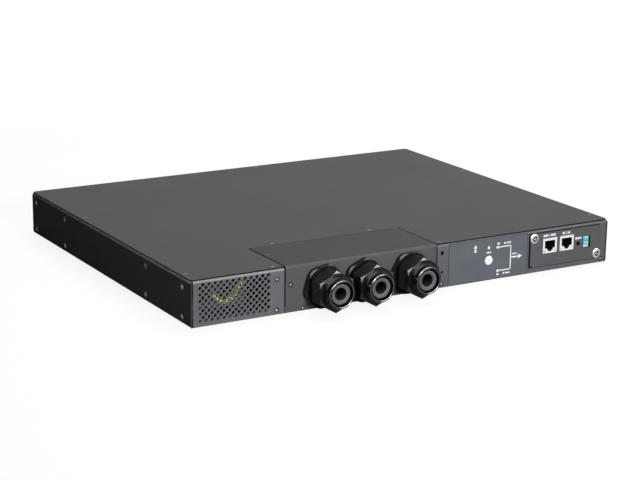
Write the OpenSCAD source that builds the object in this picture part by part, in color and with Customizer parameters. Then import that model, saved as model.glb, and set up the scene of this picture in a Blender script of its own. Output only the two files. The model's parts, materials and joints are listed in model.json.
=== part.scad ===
// Rack static transfer switch, 1U: two mains feeds and one output enter through
// cable glands, and the load moves between the feeds on thyristors.
// +X runs along the gland side, +Y goes into the cabinet, +Z is up. The origin is
// the centre of the chassis floor. x, y and z values below are measured from the
// chassis' left side, from its gland side and from its floor.

/* [Chassis] */
// Width of the chassis
body_w = 440; // [434:1:446]
// Depth of the chassis, without the glands
body_d = 350; // [330:1:420]
// Height of the chassis, lid included
body_h = 42; // [41:0.5:44]
// Thickness of the steel sheet
sheet_t = 1.2; // [1:0.1:1.5]
// Outer radius of a bend
bend_r = 2.4; // [2:0.1:2.6]
// Width of the flanges that carry the lid
flange_w = 12; // [10:0.5:14]
// Height of the lip behind the front plates
lip_h = 6.4; // [6.2:0.1:6.6]
// Play between two sheets that lie side by side
seam = 0.5; // [0.3:0.1:0.8]

/* [Wiring cover] */
// Distance from the left side to the cover
cover_x = 89.2; // [88.8:0.2:91]
// Depth of the cover's top
cover_d = 64.5; // [62:0.5:72]
// Width of the slit left of the cover
slit_w = 1.6; // [1.2:0.1:2]
// Height of the tight foot below the slit
slit_foot = 6; // [5:0.5:7]

/* [Vent] */
// Diameter of a vent hole
vent_hole_d = 3.1; // [2.6:0.1:3.3]
// Distance between two holes of one row
vent_pitch = 5.66; // [5.5:0.02:5.7]
// Holes in one row
vent_cols = 12; // [8:1:12]
// Pairs of staggered rows
vent_row_pairs = 6; // [4:1:6]
// Distance from the left side to the first hole
vent_x = 8.6; // [8:0.2:9]
// Height of the lowest row
vent_z = 5.6; // [5.4:0.1:6]

/* [Ear holes] */
// Distance from the front to the first ear hole
ear_front = 16; // [14:0.5:20]
// Distance from the rear to the last ear hole
ear_rear = 10; // [8:0.5:12]
// Distance between two ear holes along the side
ear_pitch = 72; // [60:1:80]
// Height of the lower ear holes
ear_z = 6.5; // [6:0.1:7]
// Height between the ear holes
ear_rise = 26; // [24:0.5:28]
// Bore of a clinch nut
ear_bore_d = 3.3; // [3:0.1:3.6]

/* [Glands] */
// Diameter round the corners of a gland's base
gland_base_d = 40; // [36:0.2:40.4]
// Distance from the cover's left edge to the first gland
gland_left = 37.6; // [36.5:0.1:38]
// Distance from the last gland to the cover's right edge
gland_right = 29.5; // [29.5:0.5:32]
// Width across the flats of the dome nut
gland_af = 33; // [31:0.5:34]
// Diameter of the gland's panel thread
gland_thread_d = 25; // [24:0.5:25.5]
// Diameter of the hole in the cable seal
seal_bore_d = 11.5; // [8:0.5:13]
// Length of the base's hexagon
gland_hex_l = 5; // [4:0.5:6]
// Length of the dome nut's hexagon
nut_hex_l = 15.3; // [14:0.1:17]
// Length of the dome nut's round nose
nut_nose_l = 8.9; // [8.1:0.1:10]

/* [Network card] */
// Distance from the card's plate to the right side
card_gap = 10; // [9:0.1:11]
// Width of the card's plate
card_w = 81.8; // [81:0.1:84]
// Height of the card plate's lower edge
card_z = 6.3; // [5.5:0.1:7]
// Height of the card's plate
card_h = 31.9; // [31:0.1:33]
// Thickness of the card's plate
card_t = 2.3; // [2:0.1:2.5]
// Corner radius of the card's plate
card_r = 4; // [2:0.5:5]
// Width of a network jack
jack_w = 16.1; // [15.5:0.1:16.2]
// Height of a network jack
jack_h = 14.2; // [13.4:0.1:14.2]
// Travel of a selector slider
dip_travel = 1.4; // [1:0.1:1.6]
// Travel of the reset plunger
reset_travel = 0.4; // [0.2:0.05:0.5]

/* [Status overlay] */
// Width of the bare strip between the wiring cover and the overlay
strip_w = 13.4; // [13:0.1:14]
// Distance between the overlay and the card's plate
overlay_gap = 2.4; // [2:0.1:3]
// Thickness of the overlay
overlay_t = 0.4; // [0.2:0.1:0.6]
// Diameter of the source select button
button_d = 8.4; // [8:0.2:10]
// Travel of the source select button
button_travel = 0.8; // [0.5:0.1:1]

/* [Power section] */
// Height of the circuit boards above the floor
board_rise = 6; // [5:0.5:7]
// Thickness of a circuit board
board_t = 1.6; // [1.2:0.2:2]
// Fins on the heat sink
fin_count = 17; // [10:1:19]
// Height of the heat sink's fins
fin_h = 20; // [14:1:22]

/* [Hidden] */

$fn = 48;
t = sheet_t;
cut = 1;                         // how far a cutting shape runs past a face
side_h = body_h - t;             // top of the walls, under the lid
clear = 0.1;                     // radial play of a pin or stem in its hole
fit = 0.02;                      // play of pieces that seat in each other

black_paint = [0.13, 0.13, 0.14];
lid_paint = [0.2, 0.2, 0.2];
nylon = [0.05, 0.05, 0.06];
zinc = [0.75, 0.76, 0.78];
gold = [0.85, 0.68, 0.3];
board_green = [0.05, 0.3, 0.18];
seal_grey = [0.42, 0.42, 0.44];

// Lid
lid_in = 0.4;                    // how far the lid's edge lies inside the tray's walls
lid_corner_r = 3;

// The wiring cover is as wide as its glands need
cover_seam = seam + 0.8;         // gap right of the cover
wall_gap = 1.1;                  // gap between the side wall and the vent plate
gland_pitch = gland_base_d + 0.5;
pitch_extra = 7.5;               // the last gland stands a little apart
cover_w = gland_left + 2 * gland_pitch + pitch_extra + gland_right;
cover_mid_x = cover_x + cover_w / 2;
overlay_x = cover_x + cover_w + strip_w;
card_x = body_w - card_gap - card_w;

// Screws, as [shank diameter, head diameter, length]
big_screw = [3, 4.9, 5];
small_screw = [2.2, 3.9, 4.6];
recess_share = 0.58;             // size of the cross recess, as a share of the head
recess_depth = 0.7;
post_screw_d = 3;

// Top screws, from the chassis' left side and front
lid_edge = 5.6;                  // a lid screw's distance from the side
lid_front = 6;                   // a lid screw's distance from the front
lid_screw_y = [20.5, 231];
lid_vent_in = 8.2;               // from the screw by the vent to the cover
lid_rear_x = body_w * 0.564;
rear_pair = 51;                  // half the distance of the two screws behind the cover
cover_screw_in = 5.6;            // a top screw's distance from the cover's side
cover_screw_y = 40.5;

// Front screws
vent_screw_in = 7.5;
vent_screw_x = cover_x - vent_screw_in;
vent_screw_z = [4.6, 31.9];
cover_face_in = 6.1;             // a face screw's distance from the cover's side
cover_face_z = 25.2;
foot_x = [18, 72.5, 110.7];      // the small low screws, from the cover's left side
foot_z = 2.7;
corner_z = 4;                    // the front panel's low screws
corner_in = 6.4;
strip_in = 6.4;                  // the screws and holes of the bare strip
strip_x = cover_x + cover_w + strip_in;
strip_hole_zd = [[14.8, 2.6], [32.7, 3.9]];  // height and diameter of each

// Wiring compartment
frame_in = 10;                   // from the cover's side to the frame's wall
frame_wing = 24;                 // width of the frame's front wings
frame_top_w = 15;                // width of the frame's top flanges
frame_y = cover_d - 3;           // front of the frame's rear wall
frame_flange_y = frame_y + 15;   // rear of its top flange

// Glands
gland_z = gland_base_d / 2 + 0.4;
gland_x = [for (d = [0, gland_pitch, 2 * gland_pitch + pitch_extra]) cover_x + gland_left + d];
gland_turn = [12, 22, 0];        // how far each base is screwed round
gland_base_af = gland_base_d * 0.92;
gasket_t = 1;
gasket_d = 31;
gland_bore_d = 18;               // bore of the gland's body
collar_d = 24;                   // thread under the dome nut
collar_gap = 3.2;                // bare collar between base and dome nut
finger_count = 10;
finger_gap = 1.2;
finger_l = 7.3;
thread_l = 11;                   // panel thread behind the cover's face
locknut_af = 29;
locknut_t = 4.5;
low_lip_h = gland_z - locknut_af / 2 - seam;  // the lip stays clear of the locknuts
nut_at = gasket_t + gland_hex_l + collar_gap; // where the dome nut starts
nut_l = nut_hex_l + nut_nose_l;
nut_chamfer = 2.2;
nut_chamfer_l = 1.3;
rib_count = 11;                  // grooves on one flat of the dome nut
rib_w = 0.8;
rib_depth = 0.4;
nose_d = gland_af - 4.6;
nose_root_d = nose_d - 1.6;      // groove between the hexagon and the nose
nose_root_l = 0.9;
nose_straight_l = 4.4;
nose_flat_af = 26.6;             // across the six flats that face the nose
rim_d = 25.2;                    // outside of the nose's front rim
mouth_d = 21.8;                  // and its inside
cavity_end = 2;                  // how far the collar's room runs into the nose
seal_l = 16;
seal_rim_d = 16.8;
seal_front = nut_at + nut_l - 2.4;            // where the seal ends
seal_dish = 0.8;                 // how far the seal's face slopes in to its hole

// Network card
card_lap = 3;                    // overlap of the plate on the panel, above and below
card_side_lap = 10.8;            // and beside it, where the plate's screws are
jack_z = card_z + 12;            // underside of the jacks
jack_1_x = card_x + 14.2;
jack_2_x = card_x + 33.8;
jack_d = 21;
jack_proud = 0.3;                // how far a jack stands out of the plate
jack_fit = 0.15;
shell_t = 0.3;
jack_mouth_w = 11.8;             // opening of a jack
jack_mouth_h = 7.4;
jack_mouth_top = 2.3;            // wall over the opening
latch_w = 6.4;
latch_h = 1.7;
key_w = 4;
key_h = 1.3;
jack_mouth_d = 14;
card_board_z = jack_z - board_t;
card_board_d = 95;
reset_in = 55.7;                 // from the card's left edge
reset_x = card_x + reset_in;
reset_z = jack_z + 4.6;
reset_hole_d = 4;
reset_d = 3;
dip_w = 6.2;
dip_h = 10.2;
dip_in = 62;
dip_x = card_x + dip_in;
dip_z = jack_z + 0.2;
dip_gap = 1.7;                   // open part of the window beside the selector
dip_window = 0.35;               // play round the selector in its window
dip_d = 5.5;
dip_back = 0.4;                  // how far the selector lies behind the plate's face
dip_skin = 0.8;                  // wall in front of the sliders' feet
slider_w = 1.1;
slider_h = 1.3;
slider_pitch = 2.54;
slider_proud = 0.3;
foot_w = 1.8;                    // a slider's foot, behind the wall
foot_h = 2.3;
foot_d = 1.2;
riser_y = dip_d + dip_back - card_t;  // front of the small board behind selector and reset
riser_x = card_x + 53;
riser_w = 18.5;
riser_h = 13;
reset_skin = 0.7;
reset_front = 0.6;               // front of the reset switch
ferrule_d = 9.1;
ferrule_in = 4;                // ferrule centre from the plate's side
ferrule_up = 4.3;                // and from its top or lower edge
ferrule_h = 1;
ferrule_neck_d = 6;
ferrule_seat = 0.3;              // height of the screw's seat over the plate
card_screw_head_d = 5.8;
card_screw_head_h = 1.1;
card_screw_l = 7;
card_nut_d = 5;
card_nut_flange_d = 7;
card_nut_h = 2;

// Status display
overlay_w = card_x - overlay_gap - overlay_x;
overlay_margin = 0.8;            // bare steel above and below the overlay
button_x = overlay_x + overlay_w * 0.505;
button_z = body_h * 0.463;
pipe_d = 2;
pipe_xz = [                      // lamps, as shares of the overlay's width and the chassis' height
  for (p = [[0.335, 0.7], [0.503, 0.76], [0.608, 0.727], [0.62, 0.187], [0.83, 0.455]])
    [overlay_x + p[0] * overlay_w, p[1] * body_h]
];
display_y = 9;                   // front of the display board
display_z = 4.6;
display_h = side_h - 2 * display_z;
button_flange_t = 0.8;
button_proud = 0.5;
switch_w = 6;
switch_d = 3.4;
switch_floor = 0.4;              // left under the plunger when the button is down
plunger_d = 3.2;
plunger_room = 0.2;
button_flange_d = button_d + 3;
button_edge = 0.4;
spacer_d = 5;
spacer_pin_d = 2.6;
spacer_in = 8;                   // a spacer's distance from the overlay's side
spacer_low = 7;                  // from the board's lower edge, over the front lip
spacer_high = 4;                 // and from its upper edge
spacer_barb = 0.8;
spacer_barb_l = 1.2;
board_in = 4;                    // the display board's distance from the overlay's side

// Power section
power_x = 22;
power_y = 92;
power_w = 258;
power_rear = 29;                 // room behind the board
power_d = body_d - power_y - power_rear;
power_top = board_rise + board_t;
post_in = 6;                     // a post's distance from the board's edge
post_d = 6;
post_cap_d = 5.5;
post_cap_h = 2;
power_post_x = [power_x + post_in, (gland_x[0] + gland_x[1]) / 2, power_x + power_w - post_in];
power_post_y = [power_y + post_in, power_y + power_d - post_in];
power_posts = [for (x = power_post_x, y = power_post_y) [x, y]];
card_post_in = 16;               // a card post's distance from the plate's side
card_posts = [for (x = [card_post_in, card_w - card_post_in])
  [card_x + x, card_board_d - post_in]];
post_places = concat(power_posts, card_posts);
sink_gap = 12;                   // from the power board to the heat sink
sink_edge = 22;                  // from the heat sink to the right side
sink_x = power_x + power_w + sink_gap;
sink_y = card_board_d + 15;
sink_w = body_w - sink_edge - sink_x;
sink_d = 205;
sink_base = 6;
sink_pad_d = 58;                 // flat end of the base, for the thyristors
fin_t = 1.8;
module_count = 4;
module_gap = 5.2;
module_w = (sink_w - (module_count + 1) * module_gap) / module_count;
module_l = 38;
module_h = 12;
module_ear = 6;                  // low ears with the screw holes
module_ear_h = 5;
module_hole_d = 3.4;
module_pole_pitch = 7;
module_pole_d = 4;
module_pole_h = 3;
capacitor_d = 22;
capacitor_h = 28;
capacitor_edge = 1;
capacitor_columns = 4;
capacitor_rows = 2;
capacitor_x = 50;                // first capacitor, from the board's left front corner
capacitor_y = 80;
capacitor_pitch_x = 48;
capacitor_pitch_y = 90;

// Power terminals and leads
pole_count = 3;
pole_pitch = 11;
block_w = 34;
block_d = 20;
block_h = 19;
block_y = 36;
block_step_d = 4;                // low front of a block, with the cables' entries
block_step_h = 11;
cable_entry_d = 6;
cable_entry_l = 7;
cable_entry_z = 6;
clamp_d = 5;
clamp_h = 3;
entry_d = 6;                     // how deep a lead goes into its terminal
wire_d = 3.6;
lead_z = 12;
slot_w = 30;
slot_h = 8;
terminal_y = power_y + 13;
terminal_w = 9;
terminal_d = 10;
terminal_h = 9;

// Transformer, behind the vent
core_x = 20;
core_y = 42;
core_w = 54;
core_d = 20;
core_h = 34;
limb_w = 18;
window_w = 9;
window_h = 18;
coil_wall = 8;
coil_r = 3;

// Earth lead's route, from the compartment's stud to the one by the vent
lead_r = 2.1;
lead_hole = [30, 23];            // y and z of its hole in the partition
lead_sides = 10;
lead_steps = 3;
lead_route = [
  [110, 30, 7], [110, 30, 12.5], [109.7, 30, 17.5], [106, 30, 22], [99, 30, 23.5], [91, 29, 24.5],
  [83, 26, 27.5], [74, 23, 30], [66, 20, 31], [58, 17, 29], [52, 14.5, 25], [47, 12.5, 20],
  [42, 11.5, 16.5], [37, 11, 15.5], [32, 12, 17], [28, 14.5, 21], [24, 18, 24.5],
  [19, 21.5, 24.5], [14.6, 25, 22], [12.3, 26.8, 17.5], [12, 27, 12.5], [12, 27, 7]
];
lug_r = 3.2;
lug_h = 11;
lug_reach = 10;                  // from the lead's end to the stud
lug_ring_d = 10;
lug_t = 1;
stud_d = 5;
stud_h = 8;
stud_nut_af = 8;
stud_nut_h = 4;

function fx(x) = x - body_w / 2;
function fy(y) = y - body_d / 2;

// ---------- helpers ----------

// A point on the front face: local +Z points out of the face, local +Y up.
module on_front(x, z) translate([fx(x), fy(0), z]) rotate([90, 0, 0]) children();
// A point on the lid: local +Z points up.
module on_top(x, y) translate([fx(x), fy(y), body_h]) children();
// A block between two corners given from the left side, the front and the floor.
module block(x, y, z, w, d, h) translate([fx(x), fy(y), z]) cube([w, d, h]);
// A flat outline drawn from the left side and the floor, standing depth deep from y.
module upright(y, depth) translate([fx(0), fy(y + depth), 0]) rotate([90, 0, 0])
  linear_extrude(depth) children();

module rounded(w, h, r) {
  translate([r, 0]) square([w - 2 * r, h]);
  translate([0, r]) square([w, h - 2 * r]);
  for (x = [r, w - r], y = [r, h - r]) translate([x, y]) circle(r);
}

// A sheet bent to a closed section, w wide and h high.
module section(w, h) difference() {
  rounded(w, h, bend_r);
  translate([t, t]) rounded(w - 2 * t, h - 2 * t, bend_r - t + 0.01);
}

// Cross recess, cut into a screw's head.
module cross_recess(size, depth) for (a = [0, 90]) rotate(a)
  translate([-size / 2, -size / 8, -depth]) cube([size, size / 4, depth + cut]);

// Countersunk screw: the head is flush with z = 0 and the shank points down.
module flat_screw(kind) color([0.1, 0.1, 0.11]) difference() {
  head_h = (kind[1] - kind[0]) / 2;
  union() {
    translate([0, 0, -head_h]) cylinder(d1 = kind[0], d2 = kind[1], h = head_h);
    translate([0, 0, -kind[2]]) cylinder(d = kind[0], h = kind[2] - head_h / 2);
  }
  cross_recess(kind[1] * recess_share, recess_depth);
}
// Its hole, from the face down through everything.
module flat_screw_hole(kind) union() {
  head_h = (kind[1] - kind[0]) / 2;
  translate([0, 0, -head_h - fit])
    cylinder(d1 = kind[0] + 2 * fit, d2 = kind[1] + 2 * fit, h = head_h + fit);
  translate([0, 0, -kind[2] - cut]) cylinder(d = kind[0] + 2 * fit, h = kind[2] + cut);
  translate([0, 0, -fit]) cylinder(d = kind[1] + 2 * fit, h = cut);
}

// A hexagonal prism with its corners turned off to a chamfer at both ends.
module turned_hexagon(af, corner_d, h, chamfer, chamfer_l) intersection() {
  cylinder(d = af / cos(30), h = h, $fn = 6);
  rotate_extrude() polygon([
    [0, 0], [corner_d / 2 - chamfer, 0], [corner_d / 2, chamfer_l], [corner_d / 2, h - chamfer_l],
    [corner_d / 2 - chamfer, h], [0, h]
  ]);
}

// ---------- screw places ----------

module lid_screw_places() {
  for (y = lid_screw_y, x = [lid_edge, body_w - lid_edge]) on_top(x, y) children();
  on_top(lid_rear_x, body_d - lid_front) children();
  for (x = [cover_x - lid_vent_in, strip_x]) on_top(x, lid_front) children();
  for (s = [-1, 1]) on_top(cover_mid_x + s * rear_pair, cover_d + lid_front) children();
}
module cover_screw_places() {
  for (x = [cover_screw_in, cover_w - cover_screw_in])
    on_top(cover_x + x, cover_screw_y) children();
  for (x = [cover_face_in, cover_w - cover_face_in])
    on_front(cover_x + x, cover_face_z) children();
}
module foot_screw_places() for (x = foot_x) on_front(cover_x + x, foot_z) children();
module corner_screw_places() for (x = [strip_x, body_w - corner_in])
  on_front(x, corner_z) children();
module vent_screw_places() for (z = vent_screw_z) on_front(vent_screw_x, z) children();
module strip_holes() for (p = strip_hole_zd) on_front(strip_x, p[0])
  translate([0, 0, -3 * t]) cylinder(d = p[1], h = 3 * t + cut);
// Every screw hole at once, to be cut from each sheet.
module screw_holes() {
  lid_screw_places() flat_screw_hole(small_screw);
  foot_screw_places() flat_screw_hole(small_screw);
  cover_screw_places() flat_screw_hole(big_screw);
  vent_screw_places() flat_screw_hole(big_screw);
  corner_screw_places() flat_screw_hole(big_screw);
}

// The ear holes of both ends of one side, given as [y, z].
function ear_places() = [
  for (y = [ear_front, ear_front + ear_pitch,
            body_d - ear_rear - ear_pitch, body_d - ear_rear],
       z = [ear_z, ear_z + ear_rise]) [y, z]
];

// ---------- chassis ----------

module base_tray() color(black_paint) difference() {
  union() {
    difference() {
      upright(0, body_d) difference() {
        section(body_w, side_h);
        translate([flange_w, side_h - t - cut]) square([body_w - 2 * flange_w, t + 2 * cut]);
      }
      // room for the front plates between the side walls
      block(t, -cut, -cut, body_w - 2 * t, t + seam + cut, body_h + 2 * cut);
      block(t, -cut, lip_h, body_w - 2 * t, bend_r + seam + cut, body_h);
    }
    // front lip, low where the locknuts are
    block(t, t + seam, 0, body_w - 2 * t, t, low_lip_h);
    block(t, t + seam, 0, cover_x - t - seam, t, lip_h);
    block(cover_x + cover_w + seam, t + seam, 0,
          body_w - cover_x - cover_w - t - seam, t, lip_h);
    // rear wall and its flange
    upright(body_d - t, t) rounded(body_w, side_h, bend_r);
    block(t, body_d - flange_w, side_h - t, body_w - 2 * t, flange_w, t);
  }
  screw_holes();
  for (p = ear_places()) translate([0, fy(p[0]), p[1]]) rotate([0, 90, 0])
    cylinder(d = clinch_shank_d + 2 * fit, h = body_w + 2 * cut, center = true);
  for (p = post_places) translate([fx(p[0]), fy(p[1]), -cut])
    cylinder(d = post_screw_d + 2 * fit, h = t + 2 * cut);
}

// Lid: a flat sheet, a little smaller than the tray, with a notch for the wiring cover.
module top_lid() color(lid_paint) difference() {
  translate([fx(lid_in), fy(lid_in), side_h]) linear_extrude(t)
    rounded(body_w - 2 * lid_in, body_d - 2 * lid_in, lid_corner_r);
  block(cover_x - seam, -cut, side_h - cut, cover_w + seam + cover_seam,
        cover_d + seam + cut, t + 2 * cut);
  screw_holes();
}

// A front plate of one bent sheet: its face stands at y = 0 from a seam over the floor to
// top, where it bends back into a flange that ends at depth.
module bent_plate(x, w, top, depth) translate([fx(x), fy(0), 0]) rotate([90, 0, 90])
  linear_extrude(w) difference() {
    union() {
      translate([0, seam]) square([t, top - bend_r - seam]);
      translate([bend_r, top - t]) square([depth - bend_r, t]);
      intersection() {
        translate([bend_r, top - bend_r]) circle(bend_r);
        translate([0, top - bend_r]) square(bend_r);
      }
    }
    translate([bend_r, top - bend_r]) circle(bend_r - t);
  }

// Wiring cover: top and face are one bent sheet, and the face carries the glands.
module wiring_cover() color(lid_paint) difference() {
  bent_plate(cover_x, cover_w, body_h, cover_d);
  // slit beside the face, down to the foot, and beside the top
  block(cover_x - cut, -cut, slit_foot, slit_w - seam + cut, cover_d + 2 * cut, body_h);
  screw_holes();
  for (x = gland_x) on_front(x, gland_z) translate([0, 0, -t - cut])
    cylinder(d = gland_thread_d + 2 * clear, h = t + 2 * cut);
}

// Vent plate with its staggered holes, and a flange under the lid.
module vent_panel() color(black_paint) difference() {
  bent_plate(t + wall_gap, cover_x - t - wall_gap - seam, side_h, flange_w);
  block(0, bend_r + seam, side_h - bend_r, flange_w + seam, flange_w, body_h);
  for (c = [0 : vent_cols - 1], r = [0 : vent_row_pairs - 1], k = [0, 1])
    on_front(vent_x + (c + k / 2) * vent_pitch, vent_z + (r + k / 2) * vent_pitch)
      translate([0, 0, -t - cut]) cylinder(d = vent_hole_d, h = t + 2 * cut, $fn = 24);
  screw_holes();
}

// Front plate of the display and the card.
module front_panel() {
  x0 = cover_x + cover_w + cover_seam;
  color(black_paint) difference() {
    bent_plate(x0, body_w - t - seam - x0, side_h, flange_w);
    block(body_w - flange_w - seam, bend_r + seam, side_h - bend_r, flange_w + seam, flange_w,
          body_h);
    block(card_x + card_side_lap, -cut, card_z + card_lap,
          card_w - 2 * card_side_lap, t + 2 * cut, card_h - 2 * card_lap);
    for (p = ferrule_places()) on_front(p[0], p[1]) translate([0, 0, -t - cut])
      cylinder(d = card_nut_d + 2 * fit, h = t + 2 * cut);
    screw_holes();
    strip_holes();
    on_front(button_x, button_z) translate([0, 0, -t - cut])
      cylinder(d = button_d + 2 * clear, h = t + 2 * cut);
    for (p = pipe_xz) on_front(p[0], p[1]) translate([0, 0, -t - cut])
      cylinder(d = pipe_d + 2 * fit, h = t + 2 * cut);
  }
}

// Partition round the wiring compartment, with wings behind the front plates.
module compartment_frame() {
  left = cover_x + frame_in;
  right = cover_x + cover_w - frame_in;
  front = t + seam;
  wing_z = lip_h + seam;
  top_y = flange_w + seam;
  color(zinc) difference() {
    union() {
      for (x = [left, right - t]) {
        block(x, front, wing_z, t, frame_y + t - front, side_h - wing_z);
        block(x, front + t + seam, t, t, frame_y - front - seam, side_h - t);
      }
      block(left, frame_y, t, right - left, t, side_h - t);
      block(left, frame_y, side_h - t, right - left, frame_flange_y - frame_y, t);
      // top flanges under the wiring cover's sides, and front wings
      for (x = [left + t - frame_top_w, right - t])
        block(x, top_y, side_h - t, frame_top_w, frame_flange_y - top_y, t);
      for (x = [left + t - frame_wing, right - t])
        block(x, front, wing_z, frame_wing, t, side_h - t - seam - wing_z);
    }
    screw_holes();
    strip_holes();
    // slots for the power leads, and a hole for the earth lead
    for (x = gland_x)
      block(x - slot_w / 2, frame_y - cut, lead_z - slot_h / 2, slot_w, t + 2 * cut, slot_h);
    translate([fx(left - cut), fy(lead_hole[0]), lead_hole[1]]) rotate([0, 90, 0])
      cylinder(r = lead_r + 1, h = t + 2 * cut);
  }
}

module lid_screws() lid_screw_places() flat_screw(small_screw);
module cover_screws() cover_screw_places() flat_screw(big_screw);
module panel_screws() {
  vent_screw_places() flat_screw(big_screw);
  corner_screw_places() flat_screw(big_screw);
  foot_screw_places() flat_screw(small_screw);
}

// Clinch nuts for the rack ears, flush with the side wall's outer face.
clinch_shank_d = 5.4;
clinch_d = 7.4;
clinch_t = 1.6;
module clinch_nuts(side) color(zinc)
  for (p = ear_places()) translate([side * body_w / 2, fy(p[0]), p[1]])
    rotate([0, -side * 90, 0]) difference() {
      union() {
        cylinder(d = clinch_shank_d, h = t);
        translate([0, 0, t]) cylinder(d = clinch_d, h = clinch_t);
      }
      translate([0, 0, -cut]) cylinder(d = ear_bore_d, h = t + clinch_t + 2 * cut);
    }

// ---------- cable glands ----------

module at_gland(n) on_front(gland_x[n - 1], gland_z) children();

// Body: panel thread, turned hexagon, and a slotted collar that grips the seal.
module gland_body(n) color(nylon) at_gland(n) difference() {
  collar_l = gland_hex_l + collar_gap + nut_hex_l;
  union() {
    translate([0, 0, gasket_t]) rotate(gland_turn[n - 1])
      turned_hexagon(gland_base_af, gland_base_d, gland_hex_l, nut_chamfer / 2, nut_chamfer_l);
    translate([0, 0, -thread_l]) cylinder(d = gland_thread_d, h = thread_l + gasket_t + cut);
    translate([0, 0, gasket_t]) cylinder(d = collar_d, h = collar_l);
  }
  translate([0, 0, -thread_l - cut]) cylinder(d = gland_bore_d, h = thread_l + collar_l + 3 * cut);
  // slots between the gripping fingers
  for (k = [0 : finger_count / 2 - 1]) rotate(k * 360 / finger_count)
    translate([-collar_d / 2 - cut, -finger_gap / 2, gasket_t + collar_l - finger_l])
      cube([collar_d + 2 * cut, finger_gap, finger_l + cut]);
}

// Seal: a sleeve inside the fingers, with a slimmer end that shows in the nut's mouth.
module gland_seal(n) color(seal_grey) at_gland(n) difference() {
  rim_z = gasket_t + gland_hex_l + collar_gap + nut_hex_l + clear;
  union() {
    translate([0, 0, seal_front - seal_l]) cylinder(d = gland_bore_d - 2 * fit, h = seal_l);
    translate([0, 0, rim_z]) cylinder(d = seal_rim_d, h = seal_front - rim_z);
  }
  translate([0, 0, seal_front - seal_l - cut]) cylinder(d = seal_bore_d, h = seal_l + 2 * cut);
  translate([0, 0, seal_front - seal_dish])
    cylinder(d1 = seal_bore_d, d2 = seal_rim_d - 2 * seal_dish, h = seal_dish + fit);
}

// The dome nut's ribbed hexagon, as a flat outline with one corner up.
module ribbed_hexagon() difference() {
  rotate(90) circle(d = gland_af / cos(30), $fn = 6);
  side = gland_af * tan(30);
  for (a = [0 : 60 : 300], k = [1 : rib_count]) rotate(a)
    translate([gland_af / 2 - rib_depth, (k / (rib_count + 1) - 0.5) * side - rib_w / 2])
      square([rib_depth + cut, rib_w]);
}

// Dome nut: ribbed hexagon, and a round nose whose rim stands round the seal.
module gland_dome_nut(n) color(nylon) at_gland(n) translate([0, 0, nut_at]) difference() {
  corner_r = gland_af / 2 / cos(30);
  rim_r = (rim_d - mouth_d) / 4;   // the rim's own rounding
  union() {
    intersection() {
      linear_extrude(nut_hex_l) ribbed_hexagon();
      rotate_extrude() polygon([
        [0, 0], [corner_r - nut_chamfer, 0], [corner_r, nut_chamfer_l],
        [corner_r, nut_hex_l - nut_chamfer_l], [corner_r - nut_chamfer, nut_hex_l], [0, nut_hex_l]
      ]);
    }
    translate([0, 0, nut_hex_l]) intersection() {
      rotate_extrude() union() {
        polygon([
          [0, -cut], [nose_root_d / 2, -cut], [nose_root_d / 2, nose_root_l],
          [nose_d / 2, nose_root_l], [nose_d / 2, nose_straight_l],
          [rim_d / 2, nut_nose_l - rim_r], [0, nut_nose_l - rim_r]
        ]);
        translate([rim_d / 2 - rim_r, nut_nose_l - rim_r]) circle(rim_r);
      }
      translate([0, 0, -2 * cut]) rotate(90)
        cylinder(d = nose_flat_af / cos(30), h = nut_nose_l + 3 * cut, $fn = 6);
    }
  }
  translate([0, 0, -cut]) cylinder(d = collar_d + 2 * clear, h = nut_hex_l + cavity_end + cut);
  translate([0, 0, nut_hex_l + cavity_end - fit])
    cylinder(d1 = collar_d + 2 * clear, d2 = mouth_d, h = cavity_end);
  cylinder(d = mouth_d, h = nut_l + cut);
}

module gland_locknuts() color(nylon) for (n = [1 : 3]) at_gland(n)
  translate([0, 0, -t - locknut_t]) difference() {
    cylinder(d = locknut_af / cos(30), h = locknut_t, $fn = 6);
    translate([0, 0, -cut]) cylinder(d = gland_thread_d + 2 * fit, h = locknut_t + 2 * cut);
  }

module gland_gaskets() color([0.1, 0.1, 0.1]) for (n = [1 : 3]) at_gland(n) difference() {
  cylinder(d = gasket_d, h = gasket_t);
  translate([0, 0, -cut]) cylinder(d = gland_thread_d + 2 * fit, h = gasket_t + 2 * cut);
}

// ---------- status display ----------

module status_overlay() color([0.42, 0.45, 0.5]) difference() {
  low = seam + overlay_margin / 2;
  block(overlay_x, -overlay_t, low, overlay_w, overlay_t, side_h - overlay_margin - low);
  on_front(button_x, button_z) translate([0, 0, -cut])
    cylinder(d = button_d + 2 * clear, h = overlay_t + 2 * cut);
  for (p = pipe_xz) on_front(p[0], p[1]) translate([0, 0, -cut])
    cylinder(d = pipe_d + 2 * fit, h = overlay_t + 2 * cut);
}

// Light pipes run from the overlay's face to the lamps' side of the display board.
module light_pipes() color([0.92, 0.92, 0.9]) for (p = pipe_xz)
  on_front(p[0], p[1]) translate([0, 0, -display_y]) cylinder(d = pipe_d, h = display_y + overlay_t);

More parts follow.
